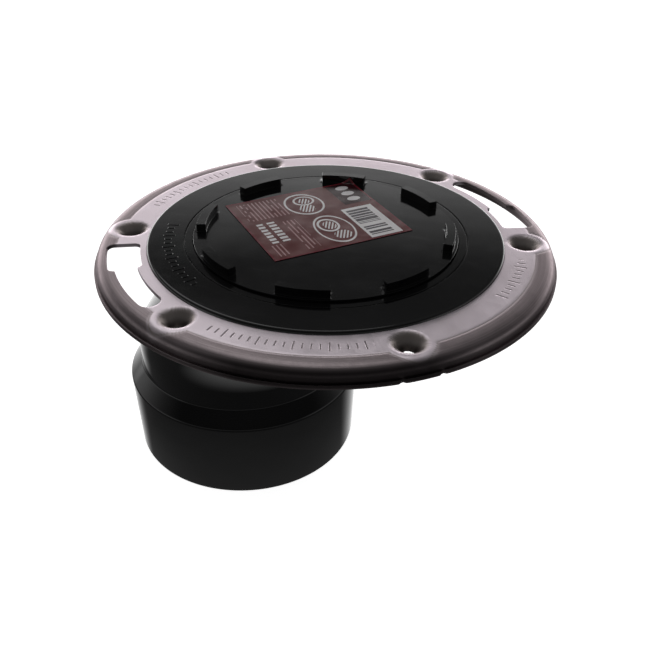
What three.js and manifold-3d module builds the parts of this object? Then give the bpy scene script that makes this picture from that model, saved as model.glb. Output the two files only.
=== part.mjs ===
// Toilet flange with an offset outlet: a moulded flange, a pressed ring that swivels under its lip,
// a test knockout that closes the bowl, and the label stuck on the knockout.
// Millimetres, +Z up. The part stands on the end of its pipe hub, and the swivel axis is the Z axis.
import * as THREE from "three";
import { mergeVertices } from "three/addons/utils/BufferGeometryUtils.js";
import Module from "manifold-3d";

const wasm = await Module();
wasm.setup();

// Overall layout
const OUTLET_OFFSET = 38.1; // the pipe hub's axis is 1 1/2 inch from the swivel axis, towards -X
const RING_TURN = 19.5; // degrees the ring is turned at rest
const RING_TOP = 101.8; // height of the ring's flat top above the hub's end
const SEGMENTS = 72;
const HOLE_SEGMENTS = 24;

// Swivel ring: 7 inch outside, pressed from sheet
const RING_BORE = 63;
const RING_SHEET = 1.5;
const RING_RELIEF = 0.05; // the ring is skimmed on both faces where it runs under the lip and over the lugs
const RING_RIM = 88.9;
const RING_SHOULDER = 83.2; // where the flat starts to round over
const SHOULDER_BEND = 3.3; // outside radius of the rounded shoulder
const FOOT_DROP = 6.65; // from the ring's flat top to the floor
const SCREW_CIRCLE = 77;
const SCREW_ANGLES = [-3.4, 50.5, 110.3];
const SCREW_HOLE = 3.4;
const SCREW_MOUTH = 6.6;
const SCREW_DEPTH = 4.2;
const SLOT = { start: 6.3, step: 21, endCentre: 39.3, middle: 77.5, narrow: 4.1, wide: 6.2, corner: 2.5 };

// Flange moulding
const RING_GAP = 0.3; // running gap between the ring and the lip
const LIP_RADIUS = 68.7;
const LIP_FOOT = 69.6;
const LIP_TOP = RING_TOP + 2.6;
const NECK_RADIUS = 62.4; // the ring turns on this
const BOWL_BORE = 51.6;
const BOWL_WALL = 5.7;
const BOWL_BOTTOM = RING_TOP - 7;
const LUG = { count: 6, reach: 65.2, top: RING_TOP - RING_SHEET - 0.4, flat: 0.9, ramp: 2.6, arc: 12 };

// Offset throat and pipe hub
const THROAT_BORE = 39;
const THROAT_RADIUS = 44.9;
const THROAT_BEND = RING_TOP - 46; // the straight throat starts to lean at this height
const HUB_TOP = 34.7;
const HUB_CONE_TOP = 41.2;
const HUB_TOP_RADIUS = 50.25;
const HUB_END_RADIUS = 48.95;
const SOCKET_MOUTH = 44.8; // takes 3 inch pipe, 88.9 mm outside
const SOCKET_END = 44.45;
const SOCKET_DEPTH = 38.1;

// Test knockout and label
const DISC_RADIUS = 51.2;
const DISC_TOP = LIP_TOP + 0.9;
const DISC_THICKNESS = 3;
const TAB = { count: 8, start: 10.5, arc: 22.3, inner: 46.5, outer: 50.1, height: 3.2 };
const LABEL_THICKNESS = 0.25;
const LABEL_LIMIT = 46.1; // the label is trimmed to stay inside the tabs
const LABEL_TURN = 46;
const LABEL_SIZE = [58, 52];
const LABEL_CENTRE = [-7.9, 9.1];

const degrees = THREE.MathUtils.degToRad;

// Solid of a closed geometry, and a geometry of a solid.
function solidOf(geometry) {
  const bare = geometry.clone();
  bare.deleteAttribute("normal");
  bare.deleteAttribute("uv");
  const merged = mergeVertices(bare.index ? bare.toNonIndexed() : bare, 1e-4);
  const vertProperties = new Float32Array(merged.attributes.position.array);
  const triVerts = new Uint32Array(merged.index.array);
  return new wasm.Manifold(new wasm.Mesh({ numProp: 3, vertProperties, triVerts }));
}

function geometryOf(solid) {
  const mesh = solid.getMesh();
  const geometry = new THREE.BufferGeometry();
  geometry.setAttribute("position", new THREE.BufferAttribute(new Float32Array(mesh.vertProperties), 3));
  geometry.setIndex(new THREE.BufferAttribute(new Uint32Array(mesh.triVerts), 1));
  return geometry;
}

// A profile of [radius, height] points, anticlockwise, turned once round the Z axis.
function turned(profile, segments = SEGMENTS) {
  const points = profile.map(([radius, height]) => new THREE.Vector2(radius, height));
  return new THREE.LatheGeometry(points, segments).rotateX(Math.PI / 2);
}

// The same profile with its last point joined to its first.
function turnedLoop(profile, segments = SEGMENTS) {
  return turned([...profile, profile[0]], segments);
}

function prism(shape, bottom, top) {
  const extruded = new THREE.ExtrudeGeometry(shape, { depth: top - bottom, bevelEnabled: false, curveSegments: 8 });
  return extruded.translate(0, 0, bottom);
}

function polar(radius, angle) {
  return [radius * Math.cos(degrees(angle)), radius * Math.sin(degrees(angle))];
}

// A stretch of a flat ring, centred on an angle.
function sector(inner, outer, middle, arc) {
  const from = degrees(middle - arc / 2);
  const to = degrees(middle + arc / 2);
  const shape = new THREE.Shape();
  shape.absarc(0, 0, outer, from, to, false);
  shape.absarc(0, 0, inner, to, from, true);
  return shape;
}

// Points of a quarter bend in a profile, from its outermost point up to its highest.
function bend(centreRadius, centreHeight, radius, steps) {
  return Array.from({ length: steps + 1 }, (_, step) => {
    const angle = (Math.PI / 2) * (step / steps);
    return [centreRadius + radius * Math.cos(angle), centreHeight + radius * Math.sin(angle)];
  });
}

// Keyhole slot for a closet bolt: a wide end for the bolt's head, then a narrow arc for its shank.
function slotShape(turn) {
  const at = (radius, angle) => polar(radius, angle + turn);
  const radians = (angle) => degrees(angle + turn);
  const wideOut = SLOT.middle + SLOT.wide;
  const wideIn = SLOT.middle - SLOT.wide;
  const narrowOut = SLOT.middle + SLOT.narrow;
  const narrowIn = SLOT.middle - SLOT.narrow;
  const cornerArc = THREE.MathUtils.radToDeg(SLOT.corner / SLOT.middle);
  const shape = new THREE.Shape();
  shape.absarc(0, 0, wideOut, radians(SLOT.start + cornerArc), radians(SLOT.step), false);
  shape.absarc(0, 0, narrowOut, radians(SLOT.step), radians(SLOT.endCentre), false);
  const [endX, endY] = at(SLOT.middle, SLOT.endCentre);
  shape.absarc(endX, endY, SLOT.narrow, radians(SLOT.endCentre), radians(SLOT.endCentre + 180), false);
  shape.absarc(0, 0, narrowIn, radians(SLOT.endCentre), radians(SLOT.step), true);
  shape.absarc(0, 0, wideIn, radians(SLOT.step), radians(SLOT.start + cornerArc), true);
  shape.quadraticCurveTo(...at(wideIn, SLOT.start), ...at(wideIn + SLOT.corner, SLOT.start));
  shape.lineTo(...at(wideOut - SLOT.corner, SLOT.start));
  shape.quadraticCurveTo(...at(wideOut, SLOT.start), ...at(wideOut, SLOT.start + cornerArc));
  return shape;
}

// Pressed ring: flat land, rounded shoulder, and a turned-out foot that stands on the floor.
function swivelRing() {
  const bendCentre = RING_TOP - SHOULDER_BEND - 0.25;
  const under = RING_TOP - RING_SHEET;
  const floor = RING_TOP - FOOT_DROP;
  const shoulderFoot = RING_SHOULDER + SHOULDER_BEND;
  const innerBend = SHOULDER_BEND - RING_SHEET;
  const profile = [
    [RING_BORE, under + RING_RELIEF],
    [LUG.reach + 1, under + RING_RELIEF],
    [LUG.reach + 1.3, under],
    [RING_SHOULDER - 2, under],
    ...bend(RING_SHOULDER, bendCentre, innerBend, 4).reverse(),
    [shoulderFoot - RING_SHEET, floor + 1.4],
    [RING_RIM - 1.6, floor],
    [RING_RIM, floor],
    [RING_RIM, floor + 1],
    [shoulderFoot + 0.3, floor + 2.3],
    ...bend(RING_SHOULDER, bendCentre, SHOULDER_BEND, 5),
    [RING_SHOULDER - 2.8, RING_TOP],
    [LIP_FOOT + 0.6, RING_TOP],
    [LIP_FOOT + 0.3, RING_TOP - RING_RELIEF],
    [RING_BORE, RING_TOP - RING_RELIEF],
  ];
  let ring = solidOf(turnedLoop(profile));
  for (const half of [0, 180]) {
    for (const angle of SCREW_ANGLES) {
      const [x, y] = polar(SCREW_CIRCLE, angle + half + RING_TURN);
      ring = ring.add(solidOf(drawnCup(RING_SHEET, RING_TOP - 0.4).translate(x, y, 0)));
      ring = ring.subtract(solidOf(countersink().translate(x, y, 0)));
    }
    const slot = prism(slotShape(half + RING_TURN), floor - 1, RING_TOP + 1);
    ring = ring.subtract(solidOf(slot));
  }
  return geometryOf(ring);
}

// Metal drawn down round a screw hole.
function drawnCup(wall, top) {
  const bottom = RING_TOP - SCREW_DEPTH;
  return turned([[0, bottom], [SCREW_HOLE + wall, bottom], [SCREW_MOUTH + 1, top], [0, top]], HOLE_SEGMENTS);
}

// Cut for a countersunk screw: a cone, then the hole, run past both faces.
function countersink() {
  const bottom = RING_TOP - SCREW_DEPTH - 2;
  const seat = RING_TOP - SCREW_DEPTH + 1.2;
  const cut = [[0, bottom], [SCREW_HOLE, bottom], [SCREW_HOLE, seat], [SCREW_MOUTH, RING_TOP]];
  return turned([...cut, [SCREW_MOUTH, RING_TOP + 1], [0, RING_TOP + 1]], HOLE_SEGMENTS);
}

// Lip, the neck that the ring turns on, and the snap lugs that hold the ring up.
function flangeCollar() {
  const lipUnder = RING_TOP + RING_GAP;
  const profile = [
    [BOWL_BORE, BOWL_BOTTOM],
    [BOWL_BORE + BOWL_WALL, BOWL_BOTTOM],
    [NECK_RADIUS - 1.6, BOWL_BOTTOM + 0.5],
    [NECK_RADIUS, BOWL_BOTTOM + 1.6],
    [NECK_RADIUS, lipUnder],
    [LIP_FOOT, lipUnder],
    [LIP_FOOT - 0.3, lipUnder + 0.8],
    [LIP_RADIUS, LIP_TOP - 0.2],
    [LIP_RADIUS - 0.3, LIP_TOP],
    [BOWL_BORE, LIP_TOP],
  ];
  let collar = solidOf(turnedLoop(profile));
  const lugBottom = LUG.top - LUG.flat;
  const bead = solidOf(turnedLoop([
    [NECK_RADIUS - 1, lugBottom - LUG.ramp],
    [NECK_RADIUS, lugBottom - LUG.ramp],
    [LUG.reach, lugBottom],
    [LUG.reach, LUG.top],
    [NECK_RADIUS - 1, LUG.top],
  ]));
  for (let number = 0; number < LUG.count; number += 1) {
    const angle = (360 / LUG.count) * number;
    const wedge = prism(sector(NECK_RADIUS - 3, LUG.reach + 2, angle, LUG.arc), BOWL_BOTTOM, RING_TOP);
    collar = collar.add(bead.intersect(solidOf(wedge)));
  }
  return geometryOf(collar);
}

// A tube through a list of round sections {x, height, radius}, closed on itself.
function loftedLoop(sections, segments = SEGMENTS) {
  const positions = [];
  for (const section of sections) {
    for (let step = 0; step < segments; step += 1) {
      const angle = (2 * Math.PI * step) / segments;
      const x = section.x + section.radius * Math.cos(angle);
      positions.push(x, section.radius * Math.sin(angle), section.height);
    }
  }
  const index = [];
  sections.forEach((_, row) => {
    const here = row * segments;
    const above = ((row + 1) % sections.length) * segments;
    for (let step = 0; step < segments; step += 1) {
      const beside = (step + 1) % segments;
      index.push(here + step, here + beside, above + beside);
      index.push(here + step, above + beside, above + step);
    }
  });
  const geometry = new THREE.BufferGeometry();
  geometry.setAttribute("position", new THREE.Float32BufferAttribute(positions, 3));
  geometry.setIndex(index);
  return geometry;
}

// Leaning throat: its round section slides from the hub's axis to the bowl's as it rises.
function offsetThroat() {
  const wall = (pipe, bowl) => {
    return [
      { x: -OUTLET_OFFSET, height: HUB_CONE_TOP, radius: pipe },
      { x: -OUTLET_OFFSET, height: THROAT_BEND, radius: pipe },
      { x: 0, height: BOWL_BOTTOM, radius: bowl },
    ];
  };
  const outside = wall(THROAT_RADIUS, BOWL_BORE + BOWL_WALL);
  const inside = wall(THROAT_BORE, BOWL_BORE).reverse();
  return loftedLoop([...outside, ...inside]);
}

// Pipe hub: a solvent-weld socket with a stop, and a cone up to the throat.
function pipeHub() {
  const profile = [
    [SOCKET_MOUTH + 0.9, 0],
    [HUB_END_RADIUS - 0.6, 0],
    [HUB_END_RADIUS, 0.6],
    [HUB_TOP_RADIUS, HUB_TOP - 0.8],
    [HUB_TOP_RADIUS - 0.7, HUB_TOP],
    [THROAT_RADIUS, HUB_CONE_TOP],
    [THROAT_BORE, HUB_CONE_TOP],
    [THROAT_BORE, SOCKET_DEPTH],
    [SOCKET_END, SOCKET_DEPTH],
    [SOCKET_MOUTH, 1.2],
  ];
  return turnedLoop(profile).translate(-OUTLET_OFFSET, 0, 0);
}

// Knockout disc with eight raised castellations to strike and grip.
function testKnockout() {
  const under = DISC_TOP - DISC_THICKNESS;
  let knockout = solidOf(turned([
    [0, under],
    [DISC_RADIUS - 0.6, under],
    [DISC_RADIUS, under + 0.6],
    [DISC_RADIUS, DISC_TOP],
    [0, DISC_TOP],
  ]));
  for (let number = 0; number < TAB.count; number += 1) {
    const angle = TAB.start + (360 / TAB.count) * number;
    const tab = prism(sector(TAB.inner, TAB.outer, angle, TAB.arc), DISC_TOP - 1, DISC_TOP + TAB.height);
    knockout = knockout.add(solidOf(tab));
  }
  return geometryOf(knockout);
}

// Printed sticker, trimmed round where it would run under the castellations.
function knockoutLabel() {
  const [width, depth] = LABEL_SIZE;
  const top = DISC_TOP + LABEL_THICKNESS;
  const sheet = new THREE.BoxGeometry(width, depth, LABEL_THICKNESS);
  sheet.rotateZ(degrees(LABEL_TURN)).translate(...LABEL_CENTRE, DISC_TOP + LABEL_THICKNESS / 2);
  const limit = turned([[0, DISC_TOP - 1], [LABEL_LIMIT, DISC_TOP - 1], [LABEL_LIMIT, top + 1], [0, top + 1]]);
  return geometryOf(solidOf(sheet).intersect(solidOf(limit)));
}

const stainless = new THREE.MeshStandardMaterial({ color: 0xb8b2b0, roughness: 0.35, metalness: 1 });
const abs = new THREE.MeshStandardMaterial({ color: 0x161618, roughness: 0.3, metalness: 0 });
const glossAbs = new THREE.MeshStandardMaterial({ color: 0x101012, roughness: 0.15, metalness: 0 });
const paper = new THREE.MeshStandardMaterial({ color: 0x5b2226, roughness: 0.4, metalness: 0 });

const flange = new THREE.Group();
const pieces = [
  ["swivel_ring", swivelRing(), stainless],
  ["flange_collar", flangeCollar(), abs],
  ["offset_throat", offsetThroat(), abs],
  ["pipe_hub", pipeHub(), abs],
  ["test_knockout", testKnockout(), glossAbs],
  ["knockout_label", knockoutLabel(), paper],
];
for (const [name, geometry, material] of pieces) {
  const mesh = new THREE.Mesh(geometry, material);
  mesh.name = name;
  flange.add(mesh);
}

export default flange;
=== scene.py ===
import math
import bpy
import numpy as np
from mathutils import Matrix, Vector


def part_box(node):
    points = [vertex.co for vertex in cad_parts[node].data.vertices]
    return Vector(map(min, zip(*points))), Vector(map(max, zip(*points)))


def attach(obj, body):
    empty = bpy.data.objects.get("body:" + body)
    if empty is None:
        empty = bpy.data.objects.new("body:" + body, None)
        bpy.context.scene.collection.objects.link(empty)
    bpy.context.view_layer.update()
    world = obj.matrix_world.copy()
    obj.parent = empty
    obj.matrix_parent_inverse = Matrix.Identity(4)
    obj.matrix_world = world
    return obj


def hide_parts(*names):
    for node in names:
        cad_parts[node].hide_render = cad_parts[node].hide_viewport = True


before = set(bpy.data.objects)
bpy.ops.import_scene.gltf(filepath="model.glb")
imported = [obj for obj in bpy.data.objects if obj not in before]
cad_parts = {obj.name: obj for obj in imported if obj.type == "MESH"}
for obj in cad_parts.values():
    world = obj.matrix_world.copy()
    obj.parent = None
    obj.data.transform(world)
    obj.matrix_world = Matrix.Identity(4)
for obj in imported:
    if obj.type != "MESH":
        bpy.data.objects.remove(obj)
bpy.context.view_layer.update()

# Everything below is worked out in millimetres and turned to metres when a mesh is made.
mm = 0.001


def millimetres(node):
    low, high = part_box(node)
    return np.array(low) / mm, np.array(high) / mm


ringLow, ringHigh = millimetres("swivel_ring")
collarLow, collarHigh = millimetres("flange_collar")
throatLow, throatHigh = millimetres("offset_throat")
hubLow, hubHigh = millimetres("pipe_hub")
knockoutLow, knockoutHigh = millimetres("test_knockout")
labelLow, labelHigh = millimetres("knockout_label")
outletX = (hubLow[0] + hubHigh[0]) / 2
ringTop = ringHigh[2]
ringTurn = math.radians(19.5)   # the ring's holes, the camera and the lights are all turned by this
print("frame loaded")


def gridQuads(rows, columns, closeRows=False, closeColumns=True):
    # Corner numbers of every cell of a grid of points, rows by columns.
    row = np.arange(rows if closeRows else rows - 1)[:, None]
    column = np.arange(columns if closeColumns else columns - 1)[None, :]
    nextRow = (row + 1) % rows
    nextColumn = (column + 1) % columns
    corners = [row * columns + column, row * columns + nextColumn,
               nextRow * columns + nextColumn, nextRow * columns + column]
    return np.stack(np.broadcast_arrays(*corners), -1).reshape(-1, 4)


# How far a rounded corner may eat into the side next to it, and the support point beside it in mm
cornerLimits = {"share": 0.46, "support": 0.35}


def softCorners(points, reach, steps=5, closed=False):
    # A path with each corner changed to a quadratic curve that starts and ends `reach` from the corner:
    # (1 - t)^2 start + 2 t (1 - t) corner + t^2 end.
    points = np.asarray(points, float)
    before, corner, after = np.roll(points, 1, 0), points, np.roll(points, -1, 0)
    if not closed:
        before, corner, after = points[:-2], points[1:-1], points[2:]
    reach = np.broadcast_to(reach, len(corner))

    def towards(target, extra=0.0):
        side = target - corner
        length = np.linalg.norm(side[:, :2], axis=1)
        limit = (cornerLimits["share"] + extra / 12) * length
        return (corner + side * (np.minimum(reach + extra, limit) / length)[:, None])[:, None]

    t = np.linspace(0, 1, steps)[None, :, None]
    curve = (1 - t) ** 2 * towards(before) + 2 * t * (1 - t) * corner[:, None] + t ** 2 * towards(after)
    # One more point on each side keeps the flat beside a rounded corner flat in its shading.
    support = cornerLimits["support"]
    curve = np.concatenate([towards(before, support), curve, towards(after, support)], 1)
    curve = curve.reshape(-1, points.shape[1])
    return curve if closed else np.concatenate([points[:1], curve, points[-1:]])


def alongPath(points, distances):
    # Points of a path at given distances from its start, and the path's whole length.
    sides = np.linalg.norm(np.diff(points, axis=0), axis=1)
    length = np.concatenate([[0], np.cumsum(sides)])
    found = [np.interp(distances, length, points[:, k]) for k in range(points.shape[1])]
    return np.stack(found, 1), length[-1]


def newPiece(name, points, faces, material, sharp=None):
    mesh = bpy.data.meshes.new(name)
    mesh.from_pydata((np.asarray(points) * mm).tolist(), [], list(faces))
    mesh.polygons.foreach_set("use_smooth", np.ones(len(mesh.polygons), bool))
    mesh.update()
    if sharp:
        mesh.set_sharp_from_angle(angle=math.radians(sharp))
    mesh.materials.append(material)
    piece = bpy.data.objects.new(name, mesh)
    bpy.context.scene.collection.objects.link(piece)
    return piece


def bakeModifiers(piece, sharp):
    # The modifiers' result becomes the mesh, so its crisp edges can be marked by angle.
    shapes = bpy.context.evaluated_depsgraph_get()
    baked = bpy.data.meshes.new_from_object(piece.evaluated_get(shapes))
    piece.modifiers.clear()
    piece.data = baked
    baked.polygons.foreach_set("use_smooth", np.ones(len(baked.polygons), bool))
    baked.set_sharp_from_angle(angle=math.radians(sharp))


def mount(piece, body, slot, *nodes):
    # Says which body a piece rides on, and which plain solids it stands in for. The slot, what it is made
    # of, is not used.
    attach(piece, body)
    if nodes:
        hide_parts(*nodes)


def linear(code):
    # sRGB hex to linear colour.
    channels = [int(code[k:k + 2], 16) / 255 for k in (0, 2, 4)]
    return tuple(c / 12.92 if c <= 0.04045 else ((c + 0.055) / 1.055) ** 2.4 for c in channels) + (1.0,)


def addNode(tree, kind, inputs=None, **settings):
    # One node, its settings, and each input set to a value or linked to another node's output.
    made = tree.nodes.new(kind)
    for name, value in settings.items():
        setattr(made, name, value)
    for name, value in (inputs or {}).items():
        if isinstance(value, bpy.types.NodeSocket):
            tree.links.new(value, made.inputs[name])
        else:
            made.inputs[name].default_value = value
    return made


def rule(tree, operation, first, second=0.0):
    # A maths node's result.
    return addNode(tree, "ShaderNodeMath", {0: first, 1: second}, operation=operation).outputs[0]


def ramp(tree, value, start, end, low, high, shape="LINEAR"):
    # From low to high as the value goes from start to end.
    limits = {"Value": value, "From Min": start, "From Max": end, "To Min": low, "To Max": high}
    return addNode(tree, "ShaderNodeMapRange", limits, interpolation_type=shape).outputs[0]


def noise(tree, place, scale, detail, roughness=0.5):
    # Cloudy noise about 0.5.
    inputs = {"Vector": place, "Scale": scale, "Detail": detail, "Roughness": roughness}
    return addNode(tree, "ShaderNodeTexNoise", inputs).outputs["Fac"]


def vector(tree, operation, first, second, output="Vector"):
    # The same for a pair of vectors, where a dot product comes out at "Value".
    return addNode(tree, "ShaderNodeVectorMath", {0: first, 1: second}, operation=operation).outputs[output]


def lay(tree, under, amount, over):
    # One colour laid over another by an amount.
    mixed = addNode(tree, "ShaderNodeMix", {"Factor": amount, "A": under, "B": over}, data_type="RGBA")
    return mixed.outputs["Result"]


def relief(tree, height, strength, depth, under=None, invert=False):
    # A bump of a depth in mm, on the bump under it if there is one.
    inputs = {"Height": height, "Strength": strength, "Distance": depth * mm}
    if under:
        inputs["Normal"] = under
    return addNode(tree, "ShaderNodeBump", inputs, invert=invert).outputs[0]


def newMaterial(name):
    material = bpy.data.materials.new(name)
    material.use_nodes = True
    material.node_tree.nodes.clear()
    return material, material.node_tree


steel = {
    "bright": "e2d8df",      # mill-finish 300 series sheet
    "dull": "beb4b9",
    "grazing": "d4ced0",
    "cupShade": "8a8380",       # drawn and coined metal: painted shade in the screw cups and along the coined line
    # painted shade on the wall under the shoulder
    "rimShadeTone": "3b3637",
    "stamped": "4a4442",
    "pressedShadeDark": "665e5f", "pressedShadeLight": "9e9496",   # streaked round the shoulder by the press tool; both tones darker than the flat as painted shade of the rolled shoulder
    "streaks": (1.6, 2400.0),    # waves along a radian, and across a metre
    "roughness": (0.3, 0.44),
    "brushSpacing": 0.55,    # mm between brush lines; the real grit lines are finer than the render shows
    "brushLength": 26.0,
    "brushTurn": 0.95,
    "scaleRadius": 75.4,     # mm, middle of the stamped index scale
    "scaleHeight": 2.3,      # half length of a stamped stroke
    "scaleShort": 0.62,      # the share of that for the strokes between the fourths
    "scaleStep": 2.2,        # degrees between strokes
    "scaleArcs": ((280.5, 21.0), (354.0, 11.5), (162.0, 17.5)),   # middle and half width, degrees
}


def indexScale(tree, direction, angle, radius):
    # One on the stamped strokes: evenly spaced by angle about the swivel axis, every fourth one longer,
    # and only inside the scale's arcs.
    steps = rule(tree, "MULTIPLY", angle, 1 / math.radians(steel["scaleStep"]))
    offCentre = rule(tree, "SUBTRACT", rule(tree, "FLOORED_MODULO", steps, 1.0), 0.5)
    stroke = ramp(tree, rule(tree, "ABSOLUTE", offCentre), 0.07, 0.14, 1.0, 0.0)
    fourth = rule(tree, "FLOORED_MODULO", rule(tree, "FLOOR", steps), 4.0)
    shorter = rule(tree, "GREATER_THAN", fourth, 0.5)
    long, short = steel["scaleHeight"] * mm, steel["scaleHeight"] * steel["scaleShort"] * mm
    reach = ramp(tree, shorter, 0, 1, long, short)
    offRadius = rule(tree, "ABSOLUTE", rule(tree, "SUBTRACT", radius, steel["scaleRadius"] * mm))
    inBand = rule(tree, "LESS_THAN", offRadius, reach)
    inArc = 0.0
    for middle, half in steel["scaleArcs"]:
        toward = (math.cos(math.radians(middle)), math.sin(math.radians(middle)), 0)
        facing = vector(tree, "DOT_PRODUCT", direction, toward, "Value")
        inside = rule(tree, "GREATER_THAN", facing, math.cos(math.radians(half)))
        inArc = rule(tree, "MAXIMUM", inArc, inside)
    return rule(tree, "MULTIPLY", rule(tree, "MULTIPLY", stroke, inBand), inArc)


def brushedStainless():
    # Pressed stainless sheet, brushed in one direction before it was cut: fine parallel lines that stretch
    # highlights, patches of uneven polish, and strokes stamped as an index scale.
    material, tree = newMaterial("brushedStainless")
    place = addNode(tree, "ShaderNodeTexCoord").outputs["Object"]
    turned = addNode(tree, "ShaderNodeMapping", {"Vector": place, "Rotation": (0, 0, steel["brushTurn"])})
    along, across = 1 / (steel["brushLength"] * mm), 1 / (steel["brushSpacing"] * mm)
    stretched = vector(tree, "MULTIPLY", turned.outputs[0], (along, across, across))
    brush = noise(tree, stretched, 1.0, 3.0, 0.6)
    patches = noise(tree, place, 45.0, 4.0, 0.55)
    smear = noise(tree, place, 260.0, 3.0)

    axes = addNode(tree, "ShaderNodeSeparateXYZ", {0: place}).outputs
    flat = addNode(tree, "ShaderNodeCombineXYZ", {"X": axes["X"], "Y": axes["Y"]}).outputs[0]
    radius = addNode(tree, "ShaderNodeVectorMath", {0: flat}, operation="LENGTH").outputs["Value"]
    direction = addNode(tree, "ShaderNodeVectorMath", {0: flat}, operation="NORMALIZE").outputs[0]
    angle = rule(tree, "ARCTAN2", axes["Y"], axes["X"])
    stamped = indexScale(tree, direction, angle, radius)

    # Colour: worn sheet, stamped strokes, streaks past the coined line with painted shade of the shoulder,
    # painted shade in the drawn cups and the coined line, and painted shade on the wall under the shoulder
    drawnAndShaded, rim, pressedAndShaded = [addNode(tree, "ShaderNodeAttribute", attribute_name=name).outputs["Fac"]
                           for name in ("drawnAndShaded", "rim", "pressedAndShaded")]
    colour = lay(tree, linear(steel["dull"]), patches, linear(steel["bright"]))
    colour = lay(tree, colour, ramp(tree, stamped, 0, 1, 0, 0.7), linear(steel["stamped"]))
    turning = addNode(tree, "ShaderNodeCombineXYZ", {"X": angle, "Y": radius}).outputs[0]
    turning = vector(tree, "MULTIPLY", turning, (*steel["streaks"], 1.0))
    streaks = noise(tree, turning, 1.0, 3.0, 0.65)
    # Draw streaks past the coined line, in tones darkened as painted shade of the rolled shoulder
    streaky = lay(tree, linear(steel["pressedShadeDark"]), streaks, linear(steel["pressedShadeLight"]))
    colour = lay(tree, colour, pressedAndShaded, streaky)
    # Painted shade in the countersunk cups and along the coined line
    colour = lay(tree, colour, drawnAndShaded, linear(steel["cupShade"]))
    # Painted shade on the wall under the shoulder, strongest on the front arc
    colour = lay(tree, colour, rim, linear(steel["rimShadeTone"]))

    polish = rule(tree, "ADD", rule(tree, "ADD", brush, smear), drawnAndShaded)
    rough = ramp(tree, polish, 0.6, 1.4, *steel["roughness"])
    lines = relief(tree, brush, 0.16, 0.12)
    dents = relief(tree, stamped, 0.9, 0.2, lines, invert=True)
    shader = addNode(tree, "ShaderNodeBsdfPrincipled", {
        "Base Color": colour, "Metallic": 1.0, "Specular Tint": linear(steel["grazing"]),
        "Roughness": rough, "Normal": dents})
    addNode(tree, "ShaderNodeOutputMaterial", {"Surface": shader.outputs[0]})
    return material


def mouldedAbs(name, colour, worn, smoothest, roughest, ripple, gleam):
    # Injection-moulded black ABS: a glossy skin from a polished tool that ripples a little, with patches
    # dulled by handling and fine scuffs.
    material, tree = newMaterial(name)
    place = addNode(tree, "ShaderNodeTexCoord").outputs["Object"]
    handling = noise(tree, place, 38.0, 5.0, 0.6)
    stretched = addNode(tree, "ShaderNodeMapping", {"Vector": place, "Rotation": (0.3, 0.2, 0.7),
                                                    "Scale": (60.0, 1400.0, 1400.0)}).outputs[0]
    scuffs = ramp(tree, noise(tree, stretched, 1.0, 2.0), 0.62, 0.8, 0, 0.35)
    rough = ramp(tree, rule(tree, "ADD", handling, scuffs), 0.35, 0.95, smoothest, roughest)
    tone = lay(tree, linear(colour), handling, linear(worn))
    waves = relief(tree, noise(tree, place, 70.0, 1.0), ripple, 0.6)
    skin = relief(tree, noise(tree, place, 1500.0, 2.0), 0.05, 0.05, waves)
    shader = addNode(tree, "ShaderNodeBsdfPrincipled", {
        "Base Color": tone, "Roughness": rough, "IOR": 1.53, "Specular IOR Level": gleam, "Normal": skin})
    addNode(tree, "ShaderNodeOutputMaterial", {"Surface": shader.outputs[0]})
    return material


stainless = brushedStainless()
satinAbs = mouldedAbs("mouldedAbs", "0b0b0c", "131314", 0.06, 0.15, 0.06, 0.36)
glossAbs = mouldedAbs("polishedAbs", "0a0a0b", "121213", 0.06, 0.18, 0.05, 0.5)
print("metal and plastic materials made")


ring = {
    "bore": 63.0,
    "rim": ringHigh[0],
    "drop": ringTop - ringLow[2],
    "sheet": 1.5,
    "shoulder": 86.5,         # radius of the wall under the rounded shoulder
    "crease": 80.4,           # thin coined line that ends the flat
    "screwCircle": 77.0,
    "screwAngles": (-3.4, 50.5, 110.3),
    "screwHole": 3.4,
    "screwMouth": 6.6,
    "screwSlope": 0.95,
    "screwPierced": 1.1,      # the drop at the pierced edge, below the countersink's cone
    "slotMiddle": 77.5,
    "slotWide": (6.3, 21.0, 6.2, 2.5),       # from, to in degrees, half width, corner
    "slotNarrow": (12.0, 42.33, 4.1, 4.1),
    "screwLand": 8.9,         # the flat kept round each screw hole, where the coined line bends outwards
    "creaseDepth": 0.15,
    "nicks": (285.8, 294.8),  # blanking nicks in the rim
    "nickDepth": 0.9,
    "wallShade": (84.9, 0.2, 0.75),    # painted shade: radius where it starts, amount all round, extra amount on the shaded front arc
    "shadedArc": (238.0, 304.0),        # degrees
    "columns": 720,
}


def ringScrews():
    angles = np.radians([a + half for half in (0, 180) for a in ring["screwAngles"]]) + ringTurn
    return ring["screwCircle"] * np.stack([np.cos(angles), np.sin(angles)])


def screwDistance(x, y):
    # Distance to the nearest screw hole's axis.
    centres = ringScrews()
    return np.min(np.hypot(x[..., None] - centres[0], y[..., None] - centres[1]), axis=-1)


def slotDistance(x, y):
    # Signed distance to the keyhole slots, each two rounded bars bent round the axis, where the
    # second slot is the first one half a turn on.
    radius = np.hypot(x, y)
    angle = np.degrees(np.arctan2(y, x) - ringTurn) % 180
    nearest = np.full(radius.shape, 1e9)
    for start, end, half, corner in (ring["slotWide"], ring["slotNarrow"]):
        for turn in (0, 180):
            middle, halfArc = (start + end) / 2, math.radians(end - start) / 2 * ring["slotMiddle"]
            u = np.abs(np.radians(angle - turn - middle) * ring["slotMiddle"]) - halfArc + corner
            v = np.abs(radius - ring["slotMiddle"]) - half + corner
            bar = np.hypot(np.maximum(u, 0), np.maximum(v, 0)) + np.minimum(np.maximum(u, v), 0) - corner
            nearest = np.minimum(nearest, bar)
    return nearest


def metalDistance(x, y):
    # Positive on the sheet, negative in a hole or slot.
    return np.minimum(screwDistance(x, y) - ring["screwHole"], slotDistance(x, y))


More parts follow.
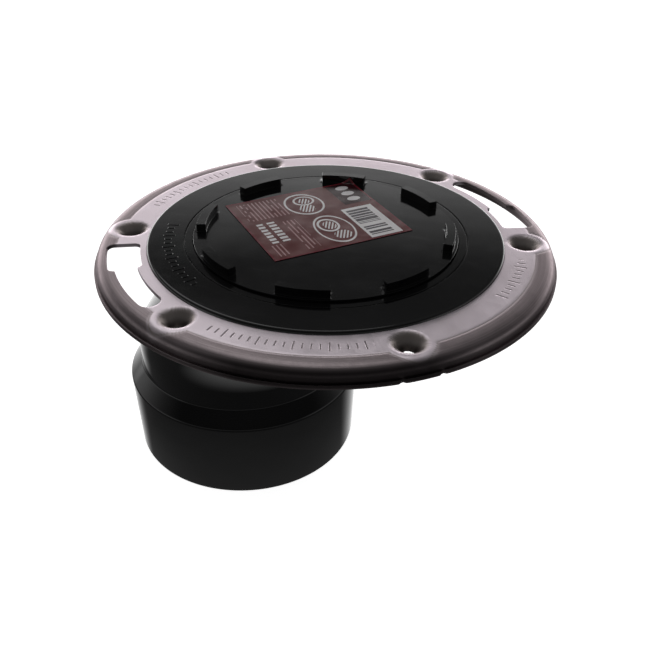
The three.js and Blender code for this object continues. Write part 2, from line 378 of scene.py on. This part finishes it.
def ontoOutline(x, y, step=0.05):
    # Points are drawn onto the outline of the hole beside them, along the distance's slope.
    for _ in range(3):
        slopeX = metalDistance(x + step, y) - metalDistance(x - step, y)
        slopeY = metalDistance(x, y + step) - metalDistance(x, y - step)
        slopeX, slopeY = slopeX / (2 * step), slopeY / (2 * step)
        move = metalDistance(x, y) / np.maximum(slopeX ** 2 + slopeY ** 2, 0.25)
        x, y = x - move * slopeX, y - move * slopeY
    return x, y


def creaseLine(x, y):
    # One on the coined line that ends the flat, and fading to nothing beside it and next to the slots.
    land = np.maximum(ring["crease"] - np.hypot(x, y), ring["screwLand"] - screwDistance(x, y))
    return np.exp(-(land / 0.34) ** 2) * np.clip(slotDistance(x, y) / 1.5, 0, 1)


def ringHeight(x, y, level):
    # Height of the pressed top face: the turned profile, drawn down round each screw hole as a cone with a
    # soft mouth, and coined with a thin line that passes outside the screw lands.
    reach = screwDistance(x, y)
    softness = 0.1
    cone = ring["screwSlope"] * softness * np.log1p(np.exp((ring["screwMouth"] - reach) / softness))
    cone += ring["screwPierced"] * np.clip((ring["screwHole"] + 0.45 - reach) / 0.4, 0, 1)
    return level - cone - ring["creaseDepth"] * creaseLine(x, y)


def toneOfRing(piece, x, y, kept):
    # Three amounts stored on the mesh: painted shade in the cups and along the coined line, where the drawn
    # metal is also duller, the streaked metal past that line with painted shade of the rolled shoulder, and
    # painted shade on the wall under the shoulder, stronger along one arc at the front.
    radius = np.hypot(x, y)
    inCup = np.clip((ring["screwMouth"] + 0.35 - screwDistance(x, y)) / 0.5, 0, 1)
    # Painted shade in the cups and along the coined line; the same amount also makes them duller
    drawnAndShaded = np.maximum(inCup, 0.95 * creaseLine(x, y))
    # Past the coined line: the draw streaks and the painted shade of the rolled shoulder
    past = np.minimum(radius - ring["crease"], screwDistance(x, y) - ring["screwLand"])
    pressedAndShaded = np.clip(past / 1.2 + 0.3, 0, 1)
    start, allRound, extra = ring["wallShade"]
    arcStart, arcEnd = ring["shadedArc"]
    around = np.degrees(np.arctan2(y, x) - ringTurn) % 360
    onArc = np.clip((around - arcStart) / 14, 0, 1) * np.clip((arcEnd - around) / 12, 0, 1)
    # Painted shade on the wall under the shoulder
    rim = np.clip(radius - start, 0, 1) * (allRound + extra * onArc)
    for name, amount in (("drawnAndShaded", drawnAndShaded), ("rim", rim), ("pressedAndShaded", pressedAndShaded)):
        piece.data.attributes.new(name, "FLOAT", "POINT").data.foreach_set("value", amount.ravel()[kept])


def swivelRing():
    # The profile is carried once round the axis, the cells over a hole are left out, and the cut edge is
    # moved onto the hole's outline. The sheet's thickness goes on below.
    foot = -ring["drop"] + ring["sheet"]
    path = softCorners([(ring["bore"], 0), (ring["shoulder"], -0.12), (ring["shoulder"] + 0.05, foot),
                        (ring["rim"], foot)], (4.0, 1.0), 9)
    flatRows = np.concatenate([[0, 3, 5.6], np.arange(7, 21.3, 0.5)])
    _, length = alongPath(path, [0])
    distances = np.concatenate([flatRows, np.linspace(21.7, length, 20)])
    profile, _ = alongPath(path, distances)
    angle = np.linspace(0, 2 * np.pi, ring["columns"], endpoint=False)
    radius = np.repeat(profile[:, :1], ring["columns"], 1)
    for nick in ring["nicks"]:
        for half in (0, np.pi):
            arc = np.angle(np.exp(1j * (angle - math.radians(nick) - ringTurn - half))) * ring["rim"]
            radius[-3:] -= ring["nickDepth"] * np.exp(-(arc / 0.75) ** 2) * np.array([[0.3], [0.8], [1.0]])
    x, y = radius * np.cos(angle), radius * np.sin(angle)

    quads = gridQuads(len(profile), ring["columns"])
    cell = metalDistance(x, y).ravel()
    quads = quads[cell[quads].mean(1) > 0]
    used = np.bincount(quads.ravel(), minlength=cell.size).reshape(x.shape)
    edge = (used > 0) & (used < 4)
    edge[[0, -1]] = False
    x[edge], y[edge] = ontoOutline(x[edge], y[edge])
    level = np.repeat(profile[:, 1:], ring["columns"], 1)
    points = np.stack([x, y, ringTop + ringHeight(x, y, level)], -1).reshape(-1, 3)
    kept, quads = np.unique(quads, return_inverse=True)
    piece = newPiece("swivelRing", points[kept], quads.reshape(-1, 4), stainless)
    toneOfRing(piece, x, y, kept)
    wall = piece.modifiers.new("sheet", "SOLIDIFY")
    wall.thickness = ring["sheet"] * mm
    wall.offset = -1
    cut = piece.modifiers.new("deburred", "BEVEL")
    cut.width = 0.16 * mm
    cut.segments = 2
    cut.limit_method = "ANGLE"
    cut.angle_limit = math.radians(55)
    bakeModifiers(piece, 50)
    mount(piece, "ring", "stainless_ring", "swivel_ring")


swivelRing()
print("swivel ring made")


moulding = {
    "columns": 256,
    "lipUnder": ringTop + 0.3,
    "lipTop": collarHigh[2],
    "lipRadius": 68.7,
    "lipFoot": collarHigh[0],
    "neck": 62.4,
    "bowlBore": 51.6,
    "bowlOutside": 57.3,
    "scoreRadius": 54.8,      # thin line round the knockout
    "throatBore": 39.0,
    "throatOutside": 44.9,
    "throatBend": ringTop - 46,
    "socketMouth": 44.8,
    "socketEnd": 44.45,
    "socketDepth": 38.1,
    "hubShoulder": 34.7,
    "hubTop": 50.25,
    "hubEnd": 48.95,
}


def flangeMoulding():
    # Each point of the profile is a radius, a height and how far its circle is shifted towards the outlet,
    # so one closed profile carries the hub, the leaning throat, the bowl and the lip.
    m = moulding
    shift, bowlEnd, coneTop, score = outletX, throatHigh[2], throatLow[2], m["scoreRadius"]
    stations = [
        # radius, height, shift, roundness of the corner
        (m["hubEnd"], 0, shift, 0.5),
        (m["hubTop"], m["hubShoulder"], shift, 0.6),
        (m["throatOutside"], coneTop, shift, 0.5),
        (m["throatOutside"], m["throatBend"], shift, 6.0),
        (m["bowlOutside"], bowlEnd, 0, 1.5),
        (m["neck"], bowlEnd + 1.2, 0, 1.0),
        (m["neck"], m["lipUnder"], 0, 0.3),
        (m["lipFoot"], m["lipUnder"], 0, 0.25),
        (m["lipRadius"], m["lipTop"], 0, 0.7),
        (score + 0.2, m["lipTop"], 0, 0.02),
        (score + 0.1, m["lipTop"] - 0.45, 0, 0.02),
        (score - 0.2, m["lipTop"] - 0.45, 0, 0.02),
        (score - 0.3, m["lipTop"], 0, 0.02),
        (m["bowlBore"], m["lipTop"], 0, 0.01),
        (m["bowlBore"], bowlEnd, 0, 3.0),
        (m["throatBore"], m["throatBend"], shift, 6.0),
        (m["throatBore"], m["socketDepth"], shift, 0.5),
        (m["socketEnd"], m["socketDepth"], shift, 0.4),
        (m["socketMouth"], 1.4, shift, 0.5),
        (m["socketMouth"] + 0.9, 0, shift, 0.3),
    ]
    stations = np.array(stations)
    profile = softCorners(stations[:, [0, 1, 2]], stations[:, 3], 6, closed=True)
    angle = np.linspace(0, 2 * np.pi, m["columns"], endpoint=False)
    radius, height, centre = (profile[:, k, None] for k in range(3))
    grid = np.broadcast_arrays(centre + radius * np.cos(angle), radius * np.sin(angle), height)
    quads = gridQuads(len(profile), m["columns"], closeRows=True)
    piece = newPiece("flangeMoulding", np.stack(grid, -1).reshape(-1, 3), quads, satinAbs, sharp=38)
    mount(piece, "flange", "abs_flange", "flange_collar", "offset_throat", "pipe_hub")


def arcBars(name, material, bars, arcSteps, sharp):
    # Solid bars bent round the swivel axis: each has a closed (radius, height) section carried through an
    # angle, with its two end sections filled.
    allPoints, allFaces, count = [], [], 0
    for section, middle, halfArc in bars:
        section = np.asarray(section, float)
        angle = np.radians(np.linspace(middle - halfArc, middle + halfArc, arcSteps))[:, None]
        x, y = section[:, 0] * np.cos(angle), section[:, 0] * np.sin(angle)
        grid = np.stack([x, y, np.broadcast_to(section[:, 1], x.shape)], -1).reshape(-1, 3)
        corners = len(section)
        quads = gridQuads(arcSteps, corners, closeColumns=True)[:, ::-1] + count
        first = list(range(count, count + corners))
        last = list(range(count + (arcSteps - 1) * corners, count + arcSteps * corners))
        allFaces += [*quads.tolist(), first, last[::-1]]
        allPoints.append(grid)
        count += len(grid)
    return newPiece(name, np.concatenate(allPoints), allFaces, material, sharp)


lugs = {"count": 6, "reach": 65.2, "halfArc": 6.0, "top": ringTop - 1.9, "flat": 0.9, "ramp": 2.6}
ticks = {"first": 194.0, "last": 241.0, "step": 2.9, "inner": 58.2, "outer": 63.0, "rise": 0.16,
         "shorter": (1.3, 0.7)}    # taken off the two ends of the short ones, mm


def snapLugs():
    # Six ramps under the ring, steep below and flat on top, where the ring snaps over them.
    low, top, root = lugs["top"] - lugs["flat"], lugs["top"], moulding["neck"] - 0.6
    foot = low - lugs["ramp"]
    section = softCorners([(root, foot), (root + 0.7, foot), (lugs["reach"], low), (lugs["reach"], top),
                           (root, top)], 0.3, 4, closed=True)
    bars = [(section, 360 / lugs["count"] * k, lugs["halfArc"]) for k in range(lugs["count"])]
    mount(arcBars("snapLugs", satinAbs, bars, 9, 40), "flange", "abs_flange")


def lipTicks():
    # A row of low raised ticks moulded on the lip, every third one longer.
    base, rise = moulding["lipTop"] - 0.1, ticks["rise"]
    bars = []
    for number, middle in enumerate(np.arange(ticks["first"], ticks["last"], ticks["step"])):
        inner = ticks["inner"] + (0 if number % 3 == 0 else ticks["shorter"][0])
        outer = ticks["outer"] - (0 if number % 3 == 0 else ticks["shorter"][1])
        section = softCorners([(inner, base), (outer, base), (outer - 0.1, base + rise + 0.1),
                               (inner + 0.1, base + rise + 0.1)], 0.12, 3, closed=True)
        bars.append((section, middle, 0.33))
    mount(arcBars("lipTicks", satinAbs, bars, 3, 40), "flange", "abs_flange")


flangeMoulding()
snapLugs()
lipTicks()
print("flange moulding made")


knockout = {
    "radius": knockoutHigh[0],
    "top": labelLow[2],
    "under": knockoutLow[2],
    "tabs": 8,
    "firstTab": 10.5,          # degrees
    "tabHalfArc": 11.15,
    "tabInner": 46.5,
    "tabOuter": 50.1,
    "tabTop": labelLow[2] + 3.2,
    "draft": 0.08,             # each tab's sides lean in this far, mm
    "chamfer": 0.6,            # round the underside
    "groove": 43.0,            # radius of a shallow ring in the underside
    "grooveDepth": 0.5,
}


def testKnockout():
    # A polar grid whose height jumps to the tab's top inside each tab. Grid lines come in close pairs at the
    # tab's sides, the foot and the top of each wall, so the walls are steep and their corners crisp.
    k = knockout
    draft = k["draft"]
    tabRadii = [k["tabInner"], k["tabInner"] + draft, k["tabOuter"] - draft, k["tabOuter"]]
    radii = np.concatenate([[6, 14, 24, 34, 41, 45.6], tabRadii, [k["radius"]]])
    pitch = 360 / k["tabs"]
    lean = math.degrees(draft / k["tabInner"])
    tabTopArc = np.linspace(-k["tabHalfArc"] + lean, k["tabHalfArc"] - lean, 15)
    tabAngles = np.concatenate([[-k["tabHalfArc"]], tabTopArc, [k["tabHalfArc"]]])
    gapAngles = np.linspace(k["tabHalfArc"], pitch - k["tabHalfArc"], 16)[1:-1]
    oneTab = np.concatenate([tabAngles, gapAngles])
    angles = np.radians(k["firstTab"] + (oneTab + pitch * np.arange(k["tabs"])[:, None])).ravel()
    onTab = np.tile(np.abs(oneTab) < k["tabHalfArc"] - lean / 2, k["tabs"])
    radialTab = (radii > k["tabInner"] + draft / 2) & (radii < k["tabOuter"] - draft / 2)
    raised = radialTab[:, None] & onTab[None, :]
    height = np.where(raised, k["tabTop"], k["top"])
    upper = np.stack([radii[:, None] * np.cos(angles), radii[:, None] * np.sin(angles), height], -1)
    chamfer, groove, grooveDepth = k["chamfer"], k["groove"], k["under"] + k["grooveDepth"]
    under = np.array([(k["radius"], k["under"] + chamfer), (k["radius"] - chamfer, k["under"]),
                      (groove + 1.0, k["under"]), (groove + 0.6, grooveDepth), (groove - 0.6, grooveDepth),
                      (groove - 1.0, k["under"]), (radii[0], k["under"])])
    lower = np.stack(np.broadcast_arrays(under[:, :1] * np.cos(angles), under[:, :1] * np.sin(angles),
                                         under[:, 1:]), -1)
    grid = np.concatenate([upper, lower]).reshape(-1, 3)
    rows, columns = len(radii) + len(under), len(angles)
    quads = gridQuads(rows, columns)[:, ::-1].tolist()
    top = list(range(columns))
    bottom = list(range((rows - 1) * columns, rows * columns))
    piece = newPiece("testKnockout", grid, quads + [top, bottom[::-1]], glossAbs)
    soft = piece.modifiers.new("toolRadius", "BEVEL")
    soft.width = 0.07 * mm
    soft.segments = 1
    soft.limit_method = "ANGLE"
    soft.angle_limit = math.radians(40)
    bakeModifiers(piece, 30)
    mount(piece, "knockout", "abs_knockout", "test_knockout")


testKnockout()
print("test knockout made")


label = {
    "corner": (-46.2, 6.1),    # the corner that its printed lines start from
    "turn": 46.0,              # degrees from +X to the first side
    "size": (58.4, 51.8),
    "stock": 0.12,             # film and adhesive
    "bendRadius": 1.3,
    "tabAt": 100.5,            # degrees, the tab that its far corner rolls up against
    "tabGap": 0.25,            # from the rolled film to the tab's face
    "border": 0.9,
    "finePitch": 1.7,
    "varnish": (0.13, 0.24),   # roughness
    "paper": "743836", "maroon": "562325", "tabReflectionTone": "35151a", "edge": "70222c",
    "white": "eeebec", "pale": "b89193", "ink": "575257",
}


def printedFilm():
    # Flexo-printed film label with a semi-gloss varnish: maroon ground, red border, a striped code block,
    # plain ovals, and rows of short bars where a label would carry words. u and v are in millimetres.
    material, tree = newMaterial("printedFilm")
    uv = addNode(tree, "ShaderNodeUVMap", uv_map="labelMap").outputs[0]
    axes = addNode(tree, "ShaderNodeSeparateXYZ", {0: uv}).outputs
    width, height = label["size"]
    u = rule(tree, "MULTIPLY", axes["X"], width)
    v = rule(tree, "MULTIPLY", axes["Y"], height)

    def both(first, second):
        return rule(tree, "MULTIPLY", first, second)

    def barMask(centreU, centreV, halfU, halfV):
        offU = rule(tree, "ABSOLUTE", rule(tree, "SUBTRACT", u, centreU))
        offV = rule(tree, "ABSOLUTE", rule(tree, "SUBTRACT", v, centreV))
        return both(rule(tree, "LESS_THAN", offU, halfU), rule(tree, "LESS_THAN", offV, halfV))

    def ovalMask(centreU, centreV, halfU, halfV, hollow=0.0):
        a = rule(tree, "DIVIDE", rule(tree, "SUBTRACT", u, centreU), halfU)
        b = rule(tree, "DIVIDE", rule(tree, "SUBTRACT", v, centreV), halfV)
        size = rule(tree, "SQRT", rule(tree, "ADD", both(a, a), both(b, b)))
        return both(rule(tree, "LESS_THAN", size, 1.0), rule(tree, "GREATER_THAN", size, hollow))

    def stripes(coordinate, pitch, share, seed):
        # Uneven stripes: one fixed level per pitch, kept where it is under the share.
        number = rule(tree, "ADD", rule(tree, "FLOOR", rule(tree, "DIVIDE", coordinate, pitch)), seed)
        level = addNode(tree, "ShaderNodeTexWhiteNoise", {"W": number}, noise_dimensions="1D")
        return rule(tree, "LESS_THAN", level.outputs["Value"], share)

    def dashes(coordinate, pitch, length):
        return rule(tree, "LESS_THAN", rule(tree, "FLOORED_MODULO", coordinate, pitch), length)

    # Ground, and the end by the tab darkened as a painted reflection of the black tab
    white, pale = linear(label["white"]), linear(label["pale"])
    fibres = noise(tree, uv, 9.0, 4.0)
    colour = lay(tree, linear(label["maroon"]), fibres, linear(label["paper"]))
    # Painted reflection of the black tab beside the label's end
    colour = lay(tree, colour, barMask(51.5, 10.5, 6.4, 9.9), linear(label["tabReflectionTone"]))

    # Fine print as broken rows, and two rows of larger bars
    row = rule(tree, "FLOOR", rule(tree, "DIVIDE", u, label["finePitch"]))
    shifted = rule(tree, "ADD", v, rule(tree, "MULTIPLY", row, 7.3))
    smallPrint = both(dashes(u, label["finePitch"], 0.55), stripes(shifted, 2.3, 0.8, 3.0))
    for area in ((12.5, 10.5, 8.8, 8.0), (17.6, 36.0, 3.0, 12.5), (5.2, 45.0, 2.4, 4.5)):
        colour = lay(tree, colour, both(smallPrint, barMask(*area)), pale)
    for centre, half in ((6.0, 1.35), (10.6, 1.6)):
        colour = lay(tree, colour, both(barMask(centre, 30.5, half, 8.6), dashes(v, 2.7, 1.674)), white)

    # Ovals in outline, and ovals filled with slanted lines
    for oval in ((30.0, 12.5, 8.2, 10.0, 0.9), (31.0, 9.5, 4.6, 4.2, 0.8), (31.6, 37.5, 7.6, 12.0, 0.91),
                 (30.5, 34.0, 4.4, 5.6, 0.8)):
        colour = lay(tree, colour, ovalMask(*oval), white)
    slanted = dashes(rule(tree, "ADD", u, rule(tree, "MULTIPLY", v, 0.6)), 1.5, 0.75)
    for oval in ((31.0, 9.8, 2.4, 2.6), (29.6, 16.6, 3.4, 3.6), (31.0, 34.2, 2.6, 3.4),
                 (32.6, 43.2, 3.6, 3.4)):
        colour = lay(tree, colour, both(ovalMask(*oval), slanted), white)
    for centre in (5.0, 10.5, 16.0):
        colour = lay(tree, colour, ovalMask(51.3, centre, 2.9, 1.9), white)

    # Striped code block, and the border
    colour = lay(tree, colour, barMask(48.0, 37.2, 6.9, 13.4), white)
    code = both(barMask(47.2, 37.0, 4.9, 11.6), stripes(v, 0.55, 0.6, 4.0))
    colour = lay(tree, colour, code, linear(label["ink"]))
    margin = label["border"]
    inside = barMask(width / 2, height / 2, width / 2 - margin, height / 2 - margin)
    colour = lay(tree, colour, rule(tree, "SUBTRACT", 1.0, inside), linear(label["edge"]))

    varnish = ramp(tree, fibres, 0.3, 0.7, *label["varnish"])
    skin = relief(tree, noise(tree, uv, 3.5, 1.0), 0.25, 0.8)
    shader = addNode(tree, "ShaderNodeBsdfPrincipled", {"Base Color": colour, "Roughness": varnish,
                                                        "IOR": 1.4, "Normal": skin})
    addNode(tree, "ShaderNodeOutputMaterial", {"Surface": shader.outputs[0]})
    return material


def knockoutLabel():
    # A flat sheet in two directions. At one tab its corner rolls up the tab's inner face: the part of its
    # radius beyond the bend becomes height.
    across, down = 90, 80
    s, t = np.meshgrid(np.linspace(0, 1, across), np.linspace(0, 1, down), indexing="ij")
    turn = math.radians(label["turn"])
    u, v = s * label["size"][0], t * label["size"][1]
    x = label["corner"][0] + u * math.cos(turn) + v * math.sin(turn)
    y = label["corner"][1] + u * math.sin(turn) - v * math.cos(turn)
    radius, angle = np.hypot(x, y), np.arctan2(y, x)
    bend = label["bendRadius"]
    wall = knockout["tabInner"] - label["tabGap"]
    fromTab = np.abs(np.degrees(angle) - label["tabAt"]) - knockout["tabHalfArc"] - 0.6
    atTab = np.clip(1 - fromTab / 1.5, 0, 1)
    past = np.maximum(radius - (wall - bend), 0) * atTab
    quarter = np.minimum(past / bend, np.pi / 2)
    rolled = wall - bend + bend * np.sin(quarter)
    newRadius = np.where(radius > wall - bend, rolled * atTab + radius * (1 - atTab), radius)
    climb = bend * (1 - np.cos(quarter)) + np.maximum(past - bend * np.pi / 2, 0)
    z = knockout["top"] + label["stock"] + 0.03 + climb
    grid = np.stack([newRadius * np.cos(angle), newRadius * np.sin(angle), z], -1).reshape(-1, 3)
    quads = gridQuads(across, down, closeColumns=False)[:, ::-1]
    piece = newPiece("knockoutLabel", grid, quads, printedFilm())
    layer = piece.data.uv_layers.new(name="labelMap")
    layer.data.foreach_set("uv", np.stack([s, t], -1).reshape(-1, 2)[quads.ravel()].ravel())
    film = piece.modifiers.new("film", "SOLIDIFY")
    film.thickness = label["stock"] * mm
    film.offset = -1
    bakeModifiers(piece, 50)
    mount(piece, "knockout", "paper_label", "knockout_label")


knockoutLabel()
print("label made")


studio = {
    "floor": "f4f4f4", "grain": "f7f7f7",
    "glow": 0.93,
    "base": 0.03,          # the least light from above
    "over": 0.2,           # the ceiling
    "screen": (1.6, 3.6),  # the backdrop's upper part, and what its foot adds
    "table": (0.08, 1.3),  # the light table on the camera's side, and behind the object
    "under": 0.6,          # the light table straight below
}


def studioFloor():
    # White translucent sheet lit from below, as on a light table; the object doesn't reflect it.
    material, tree = newMaterial("lightTable")
    place = addNode(tree, "ShaderNodeTexCoord").outputs["Object"]
    tone = lay(tree, linear(studio["floor"]), noise(tree, place, 6.0, 2.0), linear(studio["grain"]))
    shader = addNode(tree, "ShaderNodeBsdfPrincipled", {"Base Color": tone, "Roughness": 0.9,
                                                        "Emission Color": (1, 1, 1, 1),
                                                        "Emission Strength": studio["glow"]})
    addNode(tree, "ShaderNodeOutputMaterial", {"Surface": shader.outputs[0]})
    corners = np.array([(-4000, -4000, 0), (4000, -4000, 0), (4000, 4000, 0), (-4000, 4000, 0)])
    floor = newPiece("floor", corners, [(0, 1, 2, 3)], material)
    floor.visible_glossy = False
    floor.visible_diffuse = False


def studioSky():
    # A bright backdrop low down behind the object and a little round its sides, a light table seen from
    # below the horizon, a dim ceiling, and dark on the camera's side.
    world = bpy.data.worlds.new("studioSky")
    bpy.context.scene.world = world
    world.use_nodes = True
    tree = world.node_tree
    tree.nodes.clear()
    place = addNode(tree, "ShaderNodeTexCoord").outputs["Generated"]
    rise = addNode(tree, "ShaderNodeSeparateXYZ", {0: place}).outputs["Z"]
    right = (math.cos(ringTurn), math.sin(ringTurn), 0)
    back = (-math.sin(ringTurn), math.cos(ringTurn), 0)
    aside = rule(tree, "ABSOLUTE", vector(tree, "DOT_PRODUCT", place, right, "Value"))
    behind = vector(tree, "DOT_PRODUCT", place, back, "Value")

    def soft(value, start, end, low, high):
        return ramp(tree, value, start, end, low, high, "SMOOTHSTEP")

    screen = rule(tree, "ADD", soft(rise, 0.26, 0.5, studio["screen"][0], 0),
                  soft(rise, 0.08, 0.36, studio["screen"][1], 0))
    spread = rule(tree, "MAXIMUM", soft(behind, 0.35, 0.92, 0.06, 1), soft(aside, 0.7, 0.92, 0, 0.14))
    screen = rule(tree, "MULTIPLY", rule(tree, "MULTIPLY", screen, soft(rise, -0.12, 0.02, 0, 1)), spread)
    table = rule(tree, "MULTIPLY", soft(rise, -0.1, 0.02, 1, 0), soft(behind, 0.4, 0.86, *studio["table"]))
    table = rule(tree, "MAXIMUM", table, soft(rise, -0.95, -0.58, studio["under"], 0))
    ceiling = soft(rise, 0.3, 0.95, 0, studio["over"])
    ceiling = rule(tree, "MULTIPLY", ceiling, soft(behind, -0.8, 0.2, 0.4, 1))
    level = rule(tree, "ADD", rule(tree, "ADD", screen, table), ceiling)
    level = rule(tree, "ADD", level, soft(rise, -0.1, 0.3, 0.004, studio["base"]))
    light = addNode(tree, "ShaderNodeBackground", {"Color": (1, 1, 1, 1), "Strength": level})
    addNode(tree, "ShaderNodeOutputWorld", {"Surface": light.outputs[0]})


def softbox(name, turn, rise, distance, size, brightness):
    # A round lamp aimed at the object. Its place is an angle from the view's right and an angle up.
    lamp = bpy.data.lights.new(name, "AREA")
    lamp.shape = "DISK"
    lamp.size = size
    lamp.energy = brightness * math.pi ** 2 * (size / 2) ** 2
    holder = bpy.data.objects.new(name, lamp)
    bpy.context.scene.collection.objects.link(holder)
    turn, rise = math.radians(turn) + ringTurn, math.radians(rise)
    level = distance * math.cos(rise)
    away = (level * math.cos(turn), level * math.sin(turn), distance * math.sin(rise))
    holder.location = np.array(away) + np.array([0, 0, ringTop * mm])
    holder.rotation_euler = (math.pi / 2 - rise, 0, turn + math.pi / 2)


studioFloor()
studioSky()
softbox("leftRear", 116, 44, 1.3, 0.6, 0.95)
softbox("overhead", 94, 66, 1.3, 0.7, 1.05)

view = {
    "back": 280.7, "above": 146.6,               # mm from the ring's middle
    "tilt": 33.64, "roll": 0.5, "yaw": 0.08,     # degrees
    "lens": 44.5833,                             # mm, on a sensor 36 mm wide
}

camera = bpy.data.cameras.new("camera")
camera.sensor_width = 36
camera.lens = view["lens"]
camera.clip_start = 0.01
cameraHolder = bpy.data.objects.new("camera", camera)
bpy.context.scene.collection.objects.link(cameraHolder)
place = (view["back"] * math.sin(ringTurn), -view["back"] * math.cos(ringTurn), ringTop + view["above"])
turns = ((ringTurn + math.radians(view["yaw"]), "Z"), (math.radians(90 - view["tilt"]), "X"),
         (math.radians(view["roll"]), "Z"))
aim = Matrix.Translation(np.array(place) * mm)
for turn, axis in turns:
    aim = aim @ Matrix.Rotation(turn, 4, axis)
cameraHolder.matrix_world = aim
bpy.context.scene.camera = cameraHolder
bpy.context.scene.view_settings.view_transform = "Standard"
